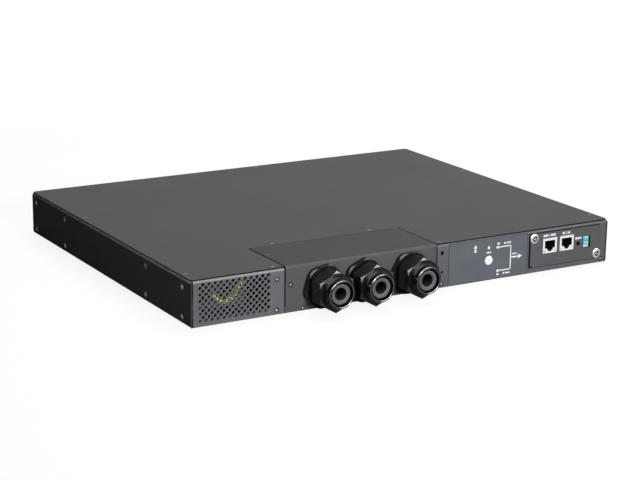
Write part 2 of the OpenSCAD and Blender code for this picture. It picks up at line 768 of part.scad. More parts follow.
// Button cap, kept in by a flange behind the front panel.
module select_button() color([0.9, 0.9, 0.88]) on_front(button_x, button_z) union() {
  back = -t - clear - button_flange_t;
  top = overlay_t + button_proud;
  translate([0, 0, back]) cylinder(d = button_flange_d, h = button_flange_t);
  translate([0, 0, back]) cylinder(d = button_d, h = top - button_edge - back);
  translate([0, 0, top - button_edge])
    cylinder(d1 = button_d, d2 = button_d - 2 * button_edge, h = button_edge);
}
module select_plunger() color([0.2, 0.2, 0.2]) on_front(button_x, button_z) {
  front = -t - clear - button_flange_t;
  back = -display_y + switch_floor + plunger_room + button_travel;
  translate([0, 0, back]) cylinder(d = plunger_d, h = front - back);
}
module select_switch() color([0.15, 0.15, 0.16]) on_front(button_x, button_z) difference() {
  translate([-switch_w / 2, -switch_w / 2, -display_y]) cube([switch_w, switch_w, switch_d]);
  translate([0, 0, -display_y + switch_floor]) cylinder(d = plunger_d + 2 * clear, h = switch_d + cut);
}

module spacer_places() for (x = [overlay_x + spacer_in, overlay_x + overlay_w - spacer_in],
                            z = [display_z + spacer_low, display_z + display_h - spacer_high])
  on_front(x, z) children();
module display_board() color(board_green) difference() {
  block(overlay_x + board_in, display_y, display_z, overlay_w - 2 * board_in, board_t, display_h);
  spacer_places() translate([0, 0, -display_y - board_t - cut])
    cylinder(d = spacer_pin_d + 2 * fit, h = board_t + 2 * cut);
}
module display_spacers() color([0.85, 0.85, 0.82]) spacer_places() {
  translate([0, 0, -display_y]) cylinder(d = spacer_d, h = display_y - t);
  translate([0, 0, -display_y - board_t]) cylinder(d = spacer_pin_d, h = board_t + cut);
  translate([0, 0, -display_y - board_t - spacer_barb_l])
    cylinder(d1 = spacer_pin_d - spacer_barb, d2 = spacer_pin_d + spacer_barb, h = spacer_barb_l);
}

// ---------- network card ----------

function ferrule_places() = [
  [card_x + ferrule_in, card_z + card_h - ferrule_up],
  [card_x + card_w - ferrule_in, card_z + ferrule_up]
];

// Opening for a jack, seen from the front and drawn from the jack's lower left corner.
module jack_mouth() {
  bottom = jack_h - jack_mouth_top - jack_mouth_h;
  translate([(jack_w - jack_mouth_w) / 2, bottom]) square([jack_mouth_w, jack_mouth_h]);
  translate([(jack_w - latch_w) / 2, bottom - latch_h]) square([latch_w, latch_h + fit]);
  translate([(jack_w - key_w) / 2, bottom - latch_h - key_h]) square([key_w, key_h + 2 * fit]);
}
led_w = 2.6;
led_h = 2.2;
led_d = 4;
led_in = 0.6;
// Local axes at a jack: x to the right, y up, z out of the panel, from the jack's corner.
module at_jack(x) on_front(x, jack_z) translate([0, 0, card_t + jack_proud]) children();
module led_pocket(x, play) translate([x - play, led_in - play, -led_d])
  cube([led_w + 2 * play, led_h + 2 * play, led_d + (play > 0 ? cut : 0)]);
led_right = jack_w - led_in - led_w;

module card_plate() color([0.16, 0.16, 0.17]) difference() {
  translate([fx(card_x), fy(0), card_z]) rotate([90, 0, 0]) linear_extrude(card_t)
    rounded(card_w, card_h, card_r);
  for (x = [jack_1_x, jack_2_x]) on_front(x - jack_fit, jack_z - jack_fit)
    translate([0, 0, -cut]) cube([jack_w + 2 * jack_fit, jack_h + 2 * jack_fit, card_t + 2 * cut]);
  on_front(dip_x - dip_window, dip_z - dip_window) translate([0, 0, -cut])
    cube([dip_w + dip_window + dip_gap, dip_h + 2 * dip_window, card_t + 2 * cut]);
  on_front(reset_x, reset_z) translate([0, 0, -cut]) cylinder(d = reset_hole_d, h = card_t + 2 * cut);
  for (p = ferrule_places()) on_front(p[0], p[1]) translate([0, 0, -cut])
    cylinder(d = ferrule_neck_d + 2 * fit, h = card_t + 2 * cut);
}
module card_board() color(board_green) difference() {
  side = card_side_lap + 0.8;
  block(card_x + side, seam, card_board_z, card_w - 2 * side, card_board_d - seam, board_t);
  for (p = card_posts) translate([fx(p[0]), fy(p[1]), card_board_z - cut])
    cylinder(d = post_screw_d + 2 * fit, h = board_t + 2 * cut);
}
module card_riser() color(board_green)
  block(riser_x, riser_y, card_board_z + board_t, riser_w, board_t, riser_h);

module card_ferrules() color(zinc) for (p = ferrule_places()) on_front(p[0], p[1]) difference() {
  edge = 0.5;
  union() {
    cylinder(d = ferrule_neck_d, h = card_t + cut);
    translate([0, 0, card_t]) cylinder(d = ferrule_d, h = ferrule_h - edge);
    translate([0, 0, card_t + ferrule_h - edge])
      cylinder(d1 = ferrule_d, d2 = ferrule_d - 2 * edge, h = edge);
  }
  translate([0, 0, -cut]) cylinder(d = post_screw_d + 2 * clear, h = card_t + ferrule_h + 2 * cut);
  translate([0, 0, card_t + ferrule_seat])
    cylinder(d = card_screw_head_d + 2 * clear, h = ferrule_h + cut);
}
module card_screws() color([0.1, 0.1, 0.11]) for (p = ferrule_places()) on_front(p[0], p[1])
  difference() {
    seat = card_t + ferrule_seat;
    edge = 0.5;
    union() {
      translate([0, 0, seat - card_screw_l]) cylinder(d = post_screw_d, h = card_screw_l + cut);
      translate([0, 0, seat]) cylinder(d = card_screw_head_d, h = card_screw_head_h - edge);
      translate([0, 0, seat + card_screw_head_h - edge])
        cylinder(d1 = card_screw_head_d, d2 = card_screw_head_d - 2 * edge, h = edge);
    }
    translate([0, 0, seat + card_screw_head_h]) cross_recess(card_screw_head_d * recess_share, recess_depth);
  }
module card_nuts() color(zinc) for (p = ferrule_places()) on_front(p[0], p[1]) difference() {
  union() {
    translate([0, 0, -t - fit]) cylinder(d = card_nut_d, h = t + fit);
    translate([0, 0, -t - card_nut_h]) cylinder(d = card_nut_flange_d, h = card_nut_h);
  }
  translate([0, 0, -t - card_nut_h - cut])
    cylinder(d = post_screw_d + 2 * fit, h = t + card_nut_h + 2 * cut);
}

module jack_shell(x) color([0.86, 0.87, 0.88]) at_jack(x) difference() {
  translate([0, 0, -jack_d]) cube([jack_w, jack_h, jack_d]);
  translate([shell_t, -cut, -jack_d - cut])
    cube([jack_w - 2 * shell_t, jack_h - shell_t + cut, jack_d - shell_t + cut]);
  translate([0, 0, -shell_t - cut]) linear_extrude(shell_t + 2 * cut) jack_mouth();
  for (p = [led_in, led_right]) led_pocket(p, fit);
}
module jack_insert(x) color([0.07, 0.07, 0.08]) at_jack(x) difference() {
  translate([shell_t + fit, 0, -jack_d])
    cube([jack_w - 2 * (shell_t + fit), jack_h - shell_t - fit, jack_d - shell_t - fit]);
  translate([0, 0, -jack_mouth_d]) linear_extrude(jack_mouth_d) jack_mouth();
  for (p = [led_in, led_right]) led_pocket(p, fit);
}

// Spring contacts: eight a jack, along the roof and bent back down into the mouth.
contact_count = 8;
contact_pitch = 1.02;
contact_w = 0.46;
contact_t = 0.35;
contact_y = jack_h - jack_mouth_top;
contact_front = 3;               // where a contact bends back, from the jack's face
contact_tip = 10.2;
contact_drop = 2.4;
module contact() rotate([0, -90, 0]) linear_extrude(contact_w) polygon([
  [-jack_mouth_d, contact_y], [-contact_front, contact_y],
  [-contact_front + contact_t, contact_y - contact_t], [-contact_tip, contact_y - contact_drop],
  [-contact_tip, contact_y - contact_drop + contact_t],
  [-contact_front - contact_t, contact_y - contact_t], [-jack_mouth_d, contact_y - contact_t]
]);
module jack_contacts() color(gold) for (x = [jack_1_x, jack_2_x], k = [0 : contact_count - 1])
  at_jack(x) translate([jack_w / 2 + (k - (contact_count - 1) / 2) * contact_pitch
                        + contact_w / 2, 0, 0]) contact();

module link_led() color([0.45, 0.8, 0.3]) for (x = [jack_1_x, jack_2_x])
  at_jack(x) led_pocket(led_in, 0);
module activity_led() color([0.95, 0.6, 0.15]) for (x = [jack_1_x, jack_2_x])
  at_jack(x) led_pocket(led_right, 0);

// ---------- selector and reset ----------

dip_front = card_t - dip_back;   // height of the selector's face over the front panel
slot_w_dip = slider_w + 2 * clear;
slot_h_dip = slider_h + dip_travel + 2 * clear;
slot_z = dip_z + (dip_h - slot_h_dip) / 2;
function slider_x(n) = dip_x + dip_w / 2 + (n - 1.5) * slider_pitch;

module selector_body() color([0.15, 0.55, 0.75]) difference() {
  on_front(dip_x, dip_z) translate([0, 0, dip_front - dip_d]) cube([dip_w, dip_h, dip_d]);
  for (n = [1, 2]) {
    on_front(slider_x(n) - slot_w_dip / 2, slot_z) translate([0, 0, dip_front - dip_skin - cut])
      cube([slot_w_dip, slot_h_dip, dip_skin + 2 * cut]);
    on_front(slider_x(n) - foot_w / 2 - clear, slot_z - (foot_h - slider_h) / 2)
      translate([0, 0, dip_front - dip_skin - foot_d - 2 * clear])
        cube([foot_w + 2 * clear, foot_h + dip_travel + 2 * clear, foot_d + 2 * clear]);
  }
}
module selector_slider(n) color([0.93, 0.93, 0.9]) {
  on_front(slider_x(n) - slider_w / 2, slot_z + clear)
    translate([0, 0, dip_front - dip_skin - 2 * clear])
      cube([slider_w, slider_h, dip_skin + 2 * clear + slider_proud]);
  on_front(slider_x(n) - foot_w / 2, slot_z + clear - (foot_h - slider_h) / 2)
    translate([0, 0, dip_front - dip_skin - foot_d - clear]) cube([foot_w, foot_h, foot_d]);
}

reset_flange_d = 4.2;
reset_flange_t = 0.6;
reset_body_w = 6;
module reset_switch() color([0.1, 0.1, 0.1]) on_front(reset_x, reset_z) difference() {
  translate([-reset_body_w / 2, -reset_body_w / 2, -riser_y])
    cube([reset_body_w, reset_body_w, riser_y - reset_front]);
  translate([0, 0, -reset_front - reset_skin - cut])
    cylinder(d = reset_d + 2 * clear, h = reset_skin + 2 * cut);
  translate([0, 0, -reset_front - reset_skin - reset_flange_t - reset_travel - 3 * clear])
    cylinder(d = reset_flange_d + 2 * clear, h = reset_flange_t + reset_travel + 3 * clear);
}
module reset_plunger() color([0.3, 0.3, 0.3]) on_front(reset_x, reset_z) {
  back = -reset_front - reset_skin - clear - reset_flange_t;
  translate([0, 0, back]) cylinder(d = reset_d, h = seam - back);
  translate([0, 0, back]) cylinder(d = reset_flange_d, h = reset_flange_t);
}

// ---------- power section ----------

module terminal_blocks() color([0.2, 0.21, 0.22]) for (x0 = gland_x) difference() {
  union() {
    block(x0 - block_w / 2, block_y, t, block_w, block_d, block_step_h);
    block(x0 - block_w / 2, block_y + block_step_d, t, block_w, block_d - block_step_d, block_h);
  }
  for (k = [-1 : 1]) translate([fx(x0 + k * pole_pitch), 0, 0]) {
    translate([0, fy(block_y + block_d - entry_d), lead_z]) rotate([-90, 0, 0])
      cylinder(d = wire_d + 2 * fit, h = entry_d + cut);
    translate([0, fy(block_y - cut), cable_entry_z]) rotate([-90, 0, 0])
      cylinder(d = cable_entry_d, h = cable_entry_l);
    translate([0, fy(block_y + (block_d + block_step_d) / 2), t + block_h - clamp_h])
      cylinder(d = clamp_d, h = clamp_h + cut);
  }
}
module power_leads() color([0.12, 0.12, 0.12]) for (x = gland_x, k = [-1 : 1])
  translate([fx(x + k * pole_pitch), fy(block_y + block_d - entry_d + clear), lead_z])
    rotate([-90, 0, 0])
      cylinder(d = wire_d, h = terminal_y - block_y - block_d + 2 * (entry_d - clear));
module power_terminals() color([0.25, 0.4, 0.3]) for (x = gland_x, k = [-1 : 1]) difference() {
  block(x + k * pole_pitch - terminal_w / 2, terminal_y, power_top, terminal_w, terminal_d,
        terminal_h);
  translate([fx(x + k * pole_pitch), fy(terminal_y - cut), lead_z]) rotate([-90, 0, 0])
    cylinder(d = wire_d + 2 * fit, h = entry_d + cut);
}
module power_board() color(board_green) difference() {
  block(power_x, power_y, board_rise, power_w, power_d, board_t);
  for (p = power_posts) translate([fx(p[0]), fy(p[1]), board_rise - cut])
    cylinder(d = post_screw_d + 2 * fit, h = board_t + 2 * cut);
}
// A post clinched into the floor, with a stud and a cap over the board.
module post(h) {
  cylinder(d = post_screw_d, h = t + cut);
  translate([0, 0, t]) cylinder(d = post_d, h = h - t);
  translate([0, 0, h - cut]) cylinder(d = post_screw_d, h = board_t + 2 * cut);
  translate([0, 0, h + board_t]) cylinder(d = post_cap_d, h = post_cap_h);
}
module board_standoffs() color(zinc) {
  for (p = power_posts) translate([fx(p[0]), fy(p[1]), 0]) post(board_rise);
  for (p = card_posts) translate([fx(p[0]), fy(p[1]), 0]) post(card_board_z);
}

module heat_sink() color([0.78, 0.79, 0.8]) union() {
  block(sink_x, sink_y, t, sink_w, sink_d, sink_base);
  for (k = [0 : fin_count - 1])
    block(sink_x + k * (sink_w - fin_t) / (fin_count - 1), sink_y + sink_pad_d,
          t + sink_base - cut, fin_t, sink_d - sink_pad_d, fin_h + cut);
}
module thyristor_modules() color([0.15, 0.16, 0.2]) for (k = [0 : module_count - 1]) {
  x = sink_x + module_gap + k * (module_w + module_gap);
  y = sink_y + (sink_pad_d - module_l) / 2;
  z = t + sink_base;
  difference() {
    union() {
      block(x, y, z, module_w, module_l, module_ear_h);
      block(x, y + module_ear, z, module_w, module_l - 2 * module_ear, module_h);
    }
    for (q = [module_ear / 2, module_l - module_ear / 2])
      translate([fx(x + module_w / 2), fy(y + q), z - cut])
        cylinder(d = module_hole_d, h = module_h);
    for (q = [-1 : 1]) translate([
      fx(x + module_w / 2), fy(y + module_l / 2 + q * module_pole_pitch), z + module_h - module_pole_h
    ]) cylinder(d = module_pole_d, h = module_pole_h + cut);
  }
}
module filter_capacitors() color([0.12, 0.2, 0.4])
  for (i = [0 : capacitor_columns - 1], j = [0 : capacitor_rows - 1]) translate([
    fx(power_x + capacitor_x + i * capacitor_pitch_x),
    fy(power_y + capacitor_y + j * capacitor_pitch_y), power_top
  ]) {
    straight = capacitor_h - capacitor_edge;
    cylinder(d = capacitor_d, h = straight);
    translate([0, 0, straight])
      cylinder(d1 = capacitor_d, d2 = capacitor_d - 2 * capacitor_edge, h = capacitor_edge);
  }

module transformer_core() color([0.5, 0.5, 0.52]) upright(core_y, core_d)
  translate([core_x, t]) difference() {
    square([core_w, core_h]);
    for (s = [-1, 1])
      translate([core_w / 2 + s * (limb_w + window_w) / 2 - window_w / 2, (core_h - window_h) / 2])
        square([window_w, window_h]);
  }
module transformer_coil() color([0.85, 0.75, 0.2])
  translate([fx(core_x + core_w / 2), fy(core_y + core_d / 2), t + (core_h - window_h) / 2 + fit])
    linear_extrude(window_h - 2 * fit) difference() {
      w = limb_w + 2 * coil_wall;
      d = core_d + 2 * coil_wall;
      translate([-w / 2, -d / 2]) rounded(w, d, coil_r);
      square([limb_w + 2 * fit, core_d + 2 * fit], center = true);
    }

// ---------- earth lead ----------

// Catmull-Rom point between b and c of four points of a route, at u from 0 to 1.
function spline(a, b, c, d, u) =
  (2 * b + (c - a) * u + (2 * a - 5 * b + 4 * c - d) * u * u + (3 * b - a - 3 * c + d) * u * u * u) / 2;
function at_end(list, i) = list[max(0, min(len(list) - 1, i))];
function smooth(list, steps) = concat(
  [for (i = [0 : len(list) - 2], k = [0 : steps - 1])
    spline(at_end(list, i - 1), list[i], list[i + 1], at_end(list, i + 2), k / steps)],
  [list[len(list) - 1]]
);
function unit(v) = v / norm(v);
function tangent(path, i) = unit(at_end(path, i + 1) - at_end(path, i - 1));
// One normal a ring, each carried on from the one before, so that the tube doesn't twist.
function normals(path, i, last) = i == len(path) ? [] :
  let (d = tangent(path, i), n = unit(last - (last * d) * d)) concat([n], normals(path, i + 1, n));
// Tube of radius r along a path of points.
module tube(path, r, sides) {
  count = len(path);
  side_normals = normals(path, 0, [0, 1, 0]);
  points = [for (i = [0 : count - 1], k = [0 : sides - 1])
    let (n = side_normals[i], m = cross(tangent(path, i), n), a = 360 * k / sides)
      path[i] + r * (cos(a) * n + sin(a) * m)];
  walls = [for (i = [0 : count - 2], k = [0 : sides - 1]) let (k2 = (k + 1) % sides)
    [i * sides + k, i * sides + k2, (i + 1) * sides + k2, (i + 1) * sides + k]];
  caps = [[for (k = [sides - 1 : -1 : 0]) k], [for (k = [0 : sides - 1]) (count - 1) * sides + k]];
  polyhedron(points, concat(walls, caps));
}

module earth_lead() color([0.75, 0.85, 0.15])
  tube([for (p = smooth(lead_route, lead_steps)) [fx(p[0]), fy(p[1]), p[2]]], lead_r, lead_sides);

// The two ends of the lead: where it stands, and the way to its stud.
lug_turn = [0, -90];
lead_ends = [[lead_route[0], lug_turn[0]], [lead_route[len(lead_route) - 1], lug_turn[1]]];
module earth_lugs() color(zinc) for (e = lead_ends)
  translate([fx(e[0][0]), fy(e[0][1]), t]) rotate(e[1]) difference() {
    union() {
      cylinder(r = lug_r, h = lug_h);
      translate([0, -lug_r, 0]) cube([lug_reach, 2 * lug_r, lug_t]);
      translate([lug_reach, 0, 0]) cylinder(d = lug_ring_d, h = lug_t);
    }
    translate([0, 0, e[0][2] - t - fit]) cylinder(r = lead_r + clear, h = lug_h);
    translate([lug_reach, 0, -cut]) cylinder(d = stud_d + 2 * clear, h = lug_t + 2 * cut);
  }
module earth_studs() color(gold) for (e = lead_ends)
  translate([fx(e[0][0]), fy(e[0][1]), t]) rotate(e[1]) translate([lug_reach, 0, 0]) {
    cylinder(d = stud_d, h = stud_h);
    translate([0, 0, lug_t]) cylinder(d = stud_nut_af / cos(30), h = stud_nut_h, $fn = 6);
  }

base_tray();
top_lid();
wiring_cover();
vent_panel();
front_panel();
compartment_frame();
lid_screws();
cover_screws();
panel_screws();
clinch_nuts(-1);  // left_clinch_nuts
clinch_nuts(1);  // right_clinch_nuts
gland_body(1);  // gland_1_body
gland_body(2);  // gland_2_body
gland_body(3);  // gland_3_body
gland_seal(1);  // gland_1_seal
gland_seal(2);  // gland_2_seal
gland_seal(3);  // gland_3_seal
gland_dome_nut(1);  // gland_1_dome_nut
gland_dome_nut(2);  // gland_2_dome_nut
gland_dome_nut(3);  // gland_3_dome_nut
gland_locknuts();
gland_gaskets();
status_overlay();
light_pipes();
select_button();
select_plunger();
select_switch();
display_board();
display_spacers();
card_plate();
card_board();
card_riser();
card_ferrules();
card_screws();
card_nuts();
jack_shell(jack_1_x);  // network_jack_shell
jack_insert(jack_1_x);  // network_jack_insert
jack_shell(jack_2_x);  // local_jack_shell
jack_insert(jack_2_x);  // local_jack_insert
jack_contacts();
link_led();
activity_led();
selector_body();
selector_slider(1);  // selector_slider_1
selector_slider(2);  // selector_slider_2
reset_switch();
reset_plunger();
terminal_blocks();
power_leads();
power_terminals();
power_board();
board_standoffs();
heat_sink();
thyristor_modules();
filter_capacitors();
transformer_core();
transformer_coil();
earth_lead();
earth_lugs();
earth_studs();
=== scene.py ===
"""Rack static transfer switch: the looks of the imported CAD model."""
import json
import math

import bmesh
import bpy
from mathutils import Matrix, Vector


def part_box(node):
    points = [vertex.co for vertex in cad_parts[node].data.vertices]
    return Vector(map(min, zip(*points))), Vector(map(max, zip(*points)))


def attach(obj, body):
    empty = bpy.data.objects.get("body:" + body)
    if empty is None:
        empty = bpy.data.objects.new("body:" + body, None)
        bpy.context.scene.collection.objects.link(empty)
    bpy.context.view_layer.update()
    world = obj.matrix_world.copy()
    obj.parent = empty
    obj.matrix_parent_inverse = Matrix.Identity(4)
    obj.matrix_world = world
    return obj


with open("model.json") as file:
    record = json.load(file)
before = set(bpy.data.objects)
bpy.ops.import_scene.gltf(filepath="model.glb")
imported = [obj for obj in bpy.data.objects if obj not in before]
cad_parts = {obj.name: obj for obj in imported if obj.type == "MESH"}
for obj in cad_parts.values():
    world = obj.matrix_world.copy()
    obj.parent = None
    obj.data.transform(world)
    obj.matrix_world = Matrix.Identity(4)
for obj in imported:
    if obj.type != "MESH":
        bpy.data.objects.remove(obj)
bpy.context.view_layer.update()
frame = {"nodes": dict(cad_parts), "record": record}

MM = 0.001


# ---------- the frame's own measures ----------

LEFT, FRONT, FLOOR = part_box("base_tray")[0]
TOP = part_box("top_lid")[1][2]
LID_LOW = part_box("top_lid")[0][2] + 0.05 * MM      # just over the underside of the lid's sheet
NOSE_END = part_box("gland_1_dome_nut")[0][1]        # front of the glands


def middle(node):
    """Centre of a node's box."""
    low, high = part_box(node)
    return (Vector(low) + Vector(high)) / 2


# ---------- camera ----------

CAMERA_AZIMUTH = math.radians(-30.690905)
CAMERA_ELEVATION = math.radians(15.223432)
CAMERA_ROLL = math.radians(0.791322)
CAMERA_DISTANCE = 1.734175
CAMERA_LENS = 100.3255       # mm
SENSOR_WIDTH = 36            # mm
CLIP_RANGE = (0.05, 60)      # m
LOOK_RIGHT = 6.413 * MM      # how far the view's middle lies to the right of the model's
LOOK_UP = 6.845 * MM


def make_camera():
    """Camera at the photograph's angle."""
    turn, lift = CAMERA_AZIMUTH, CAMERA_ELEVATION
    back = Vector((math.sin(turn) * math.cos(lift),
                   -math.cos(turn) * math.cos(lift),
                   math.sin(lift)))
    right = Vector((math.cos(turn), math.sin(turn), 0))
    up = back.cross(right)
    axis_x = right * math.cos(CAMERA_ROLL) + up * math.sin(CAMERA_ROLL)
    axis_y = up * math.cos(CAMERA_ROLL) - right * math.sin(CAMERA_ROLL)
    target = right * LOOK_RIGHT + Vector((0, 0, LOOK_UP))
    data = bpy.data.cameras.new("camera")
    data.sensor_width = SENSOR_WIDTH
    data.lens = CAMERA_LENS
    data.clip_start, data.clip_end = CLIP_RANGE
    camera = bpy.data.objects.new("camera", data)
    turned = Matrix((axis_x, axis_y, back)).transposed().to_4x4()
    camera.matrix_world = Matrix.Translation(target + back * CAMERA_DISTANCE) @ turned
    bpy.context.scene.collection.objects.link(camera)
    bpy.context.scene.camera = camera


# ---------- node trees ----------

class Tree:
    """A node tree, with short calls for the nodes that this scene uses."""

    def __init__(self, tree):
        self.tree = tree

    def add(self, kind, **values):
        """New node, with values for its properties."""
        node = self.tree.nodes.new(kind)
        for name, value in values.items():
            setattr(node, name, value)
        return node

    def link(self, source, target):
        """Wire from an output to an input."""
        self.tree.links.new(source, target)

    def maths(self, operation, *sources):
        """Result of one Math node; a source is an output or a number."""
        node = self.add("ShaderNodeMath", operation=operation)
        for socket, source in zip(node.inputs, sources):
            if isinstance(source, (int, float)):
                socket.default_value = source
            else:
                self.link(source, socket)
        return node.outputs["Value"]

    def joined(self, operation, *sources):
        """Any number of sources, joined one after another by the same operation."""
        total = sources[0]
        for source in sources[1:]:
            total = self.maths(operation, total, source)
        return total

    def between(self, source, low, high):
        """1 where source lies between low and high, and 0 elsewhere."""
        return self.maths("MULTIPLY", self.maths("GREATER_THAN", source, low),
                          self.maths("LESS_THAN", source, high))

    def spread(self, source, start, end, low=0, high=1, smooth=False):
        """Source from start to end, spread between low and high."""
        node = self.add("ShaderNodeMapRange")
        if smooth:
            node.interpolation_type = "SMOOTHSTEP"
        for socket, value in zip(node.inputs[1:5], (start, end, low, high)):
            socket.default_value = value
        self.link(source, node.inputs["Value"])
        return node.outputs["Result"]

    def letters(self, vector):
        """X, Y and Z of a vector."""
        node = self.add("ShaderNodeSeparateXYZ")
        self.link(vector, node.inputs["Vector"])
        return node.outputs


class Nodes(Tree):
    """A new material and its node tree."""

    def __init__(self, name):
        self.material = bpy.data.materials.new(name)
        self.material.use_nodes = True
        super().__init__(self.material.node_tree)
        self.shader = self.tree.nodes["Principled BSDF"]
        self.place = self.add("ShaderNodeTexCoord").outputs["Object"]

    def noise(self, size, detail=2.0, rough=0.5, stretch=(1, 1, 1)):
        """Noise whose features are about size metres wide, stretched along the axes."""
        stretched = self.add("ShaderNodeMapping")
        stretched.inputs["Scale"].default_value = stretch
        self.link(self.place, stretched.inputs["Vector"])
        node = self.add("ShaderNodeTexNoise")
        node.inputs["Scale"].default_value = 1 / size
        node.inputs["Detail"].default_value = detail
        node.inputs["Roughness"].default_value = rough
        self.link(stretched.outputs["Vector"], node.inputs["Vector"])
        return node.outputs["Fac"]

    def drift(self, source, colours, start=0.3, end=0.7):
        """Colour that turns from the first to the second while source goes from start to end."""
        node = self.add("ShaderNodeValToRGB")
        for element, place, colour in zip(node.color_ramp.elements, (start, end), colours):
            element.position = place
            element.color = (*colour, 1)
        self.link(source, node.inputs["Fac"])
        return node.outputs["Color"]

    def levels(self, source, low, high):
        """Source from 0 to 1, spread between low and high."""
        return self.spread(source, 0, 1, low, high)

    def axis(self, output, letter):
        """One axis of a vector that the Geometry node gives."""
        return self.letters(self.add("ShaderNodeNewGeometry").outputs[output])[letter]

    def facing(self, letter):
        """How squarely the face looks along an axis, to either side: from 0 to 1."""
        return self.maths("ABSOLUTE", self.axis("True Normal", letter))

    def mixed(self, factor, below, colour):
        """Colour below, turning to a plain colour where factor is 1."""
        node = self.add("ShaderNodeMix", data_type="RGBA")
        self.link(factor, node.inputs["Factor"])
        self.link(below, node.inputs["A"])
        node.inputs["B"].default_value = (*colour, 1)
        return node.outputs["Result"]

    def bump(self, source, strength, distance):
        """Relief of the surface."""
        node = self.add("ShaderNodeBump")
        node.inputs["Strength"].default_value = strength
        node.inputs["Distance"].default_value = distance
        self.link(source, node.inputs["Height"])
        self.link(node.outputs["Normal"], self.shader.inputs["Normal"])

    def feed(self, **sources):
        """Outputs, numbers or colours for the shader's own sockets, with _ for a space."""
        for name, source in sources.items():
            socket = self.shader.inputs[name.replace("_", " ")]
            if isinstance(source, bpy.types.NodeSocket):
                self.link(source, socket)
            else:
                socket.default_value = (*source, 1) if isinstance(source, tuple) else source


# ---------- finishes ----------

CLOUD = 12 * MM              # width of the slow changes in a plain colour
SQUARE = 0.5                 # a face looks along an axis if its normal has over this there
SHADOW_BLACK = (0.012, 0.012, 0.013)
# painted highlight on the coat's upward bends
BEND_SHEEN_COAT = (0.4, 0.41, 0.43)
# painted highlight in the recess of a screw head
RECESS_GLINT = (0.62, 0.63, 0.66)
NYLON_SHADES = ((0.0035, 0.0035, 0.005), (0.005, 0.005, 0.0065))
# painted highlight on the nylon's chamfers
CHAMFER_SHEEN_NYLON = (0.012, 0.012, 0.014)
# painted highlight on the dome nuts' rims
RIM_SHEEN_NYLON = (0.16, 0.16, 0.17)
THREAD_SHADES = ((0.8, 0.81, 0.82), (0.92, 0.93, 0.94))
PAINTED_NUT = (0.11, 0.11, 0.115)
MILKY_LENS = (0.7, 0.71, 0.7)
EARTH_COLOURS = ((0.9, 0.88, 0.05), (0.25, 0.6, 0.1))
SLEEVE_BLACK = (0.02, 0.02, 0.021)
END_SLEEVE = LEFT + 27 * MM                            # where the earth lead's end sleeve stops
PARTITION_SLEEVE = (LEFT + 58 * MM, LEFT + 97 * MM)    # ends of its sleeve in the partition


def shades(colour, spread):
    """A darker and a lighter shade of a colour."""
    return [tuple(min(1, max(0, c * (1 + s * spread))) for c in colour) for s in (-1, 1)]


def plain_finish(name, colour, spread=0.08, grain=0.4 * MM, relief=0.15, *, rough, **values):
    """Even finish whose colour and gloss vary a little, with a fine grain in relief."""
    nodes = Nodes(name)
    nodes.feed(Base_Color=nodes.drift(nodes.noise(CLOUD, 4), shades(colour, spread)),
               Roughness=nodes.levels(nodes.noise(grain * 3, 3), *rough), **values)
    nodes.bump(nodes.noise(grain, 2), relief, grain * 0.3)
    return nodes.material


def shaded_lid_edges(nodes):
    """Cut edges of the lid's sheet, painted dark as shade."""
    upright = nodes.maths("LESS_THAN", nodes.axis("True Normal", "Z"), SQUARE)
    high = nodes.maths("GREATER_THAN", nodes.axis("Position", "Z"), LID_LOW)
    return nodes.maths("MULTIPLY", upright, high)


def shaded_plate_edges(nodes):
    """Edges of an upright plate, painted dark as shade."""
    return nodes.maths("LESS_THAN", nodes.facing("Y"), SQUARE)


def painted_card_shadow(nodes):
    """Painted shadow on the rim of the front panel's window round the card's plate, widest below
    it.
    """
    left, right, below, above = 0.3 * MM, 0.5 * MM, 1.5 * MM, 0.5 * MM
    shadow_strength = 0.75
    low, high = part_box("card_plate")
    across = nodes.between(nodes.axis("Position", "X"), low[0] - left, high[0] + right)
    upward = nodes.between(nodes.axis("Position", "Z"), low[2] - below, high[2] + above)
    return nodes.joined("MULTIPLY", across, upward, shadow_strength)


def powder_coat(name, colour, relief=0.35, bend_sheen=0.5, shade_where=shaded_lid_edges):
    """Powder-coated steel: a fine pebbled skin, with a painted highlight on its upward bends and
    painted shade in places.
    """
    nodes = Nodes(name)
    speck, cloud, patch, sheen_patch = 0.5 * MM, 60 * MM, 3 * MM, 6 * MM      # widths of what varies
    cloud_share = 0.35
    faintest_sheen, strongest_sheen = 1.2 * bend_sheen, 2.8 * bend_sheen
    tones = shades(colour, 0.1)
    skin = nodes.add("ShaderNodeMix", data_type="RGBA")
    skin.inputs["Factor"].default_value = cloud_share
    nodes.link(nodes.drift(nodes.noise(speck, 3, 0.6), tones, 0.35, 0.65), skin.inputs["A"])
    nodes.link(nodes.drift(nodes.noise(cloud, 3), tones), skin.inputs["B"])
    # a face that slopes upwards is a bend: neither level nor upright; it gets a painted highlight,
    # as if lit from above
    upward = nodes.axis("True Normal", "Z")
    squared = nodes.maths("MULTIPLY", upward, upward)
    sideways = nodes.maths("SQRT", nodes.maths("SUBTRACT", 1, squared))
    bend = nodes.maths("MULTIPLY", nodes.maths("MAXIMUM", upward, 0), sideways)
    bend_sheen_mask = nodes.maths("MULTIPLY", bend, nodes.levels(nodes.noise(sheen_patch, 4), faintest_sheen, strongest_sheen))
    sheened_skin = nodes.mixed(bend_sheen_mask, skin.outputs["Result"], BEND_SHEEN_COAT)
    nodes.feed(Base_Color=nodes.mixed(shade_where(nodes), sheened_skin, SHADOW_BLACK),
               Roughness=nodes.levels(nodes.noise(patch, 3), 0.5, 0.6),
               Specular_IOR_Level=0.012)
    nodes.bump(nodes.noise(0.9 * speck, 2, 0.6), relief, 0.06 * MM)
    return nodes.material


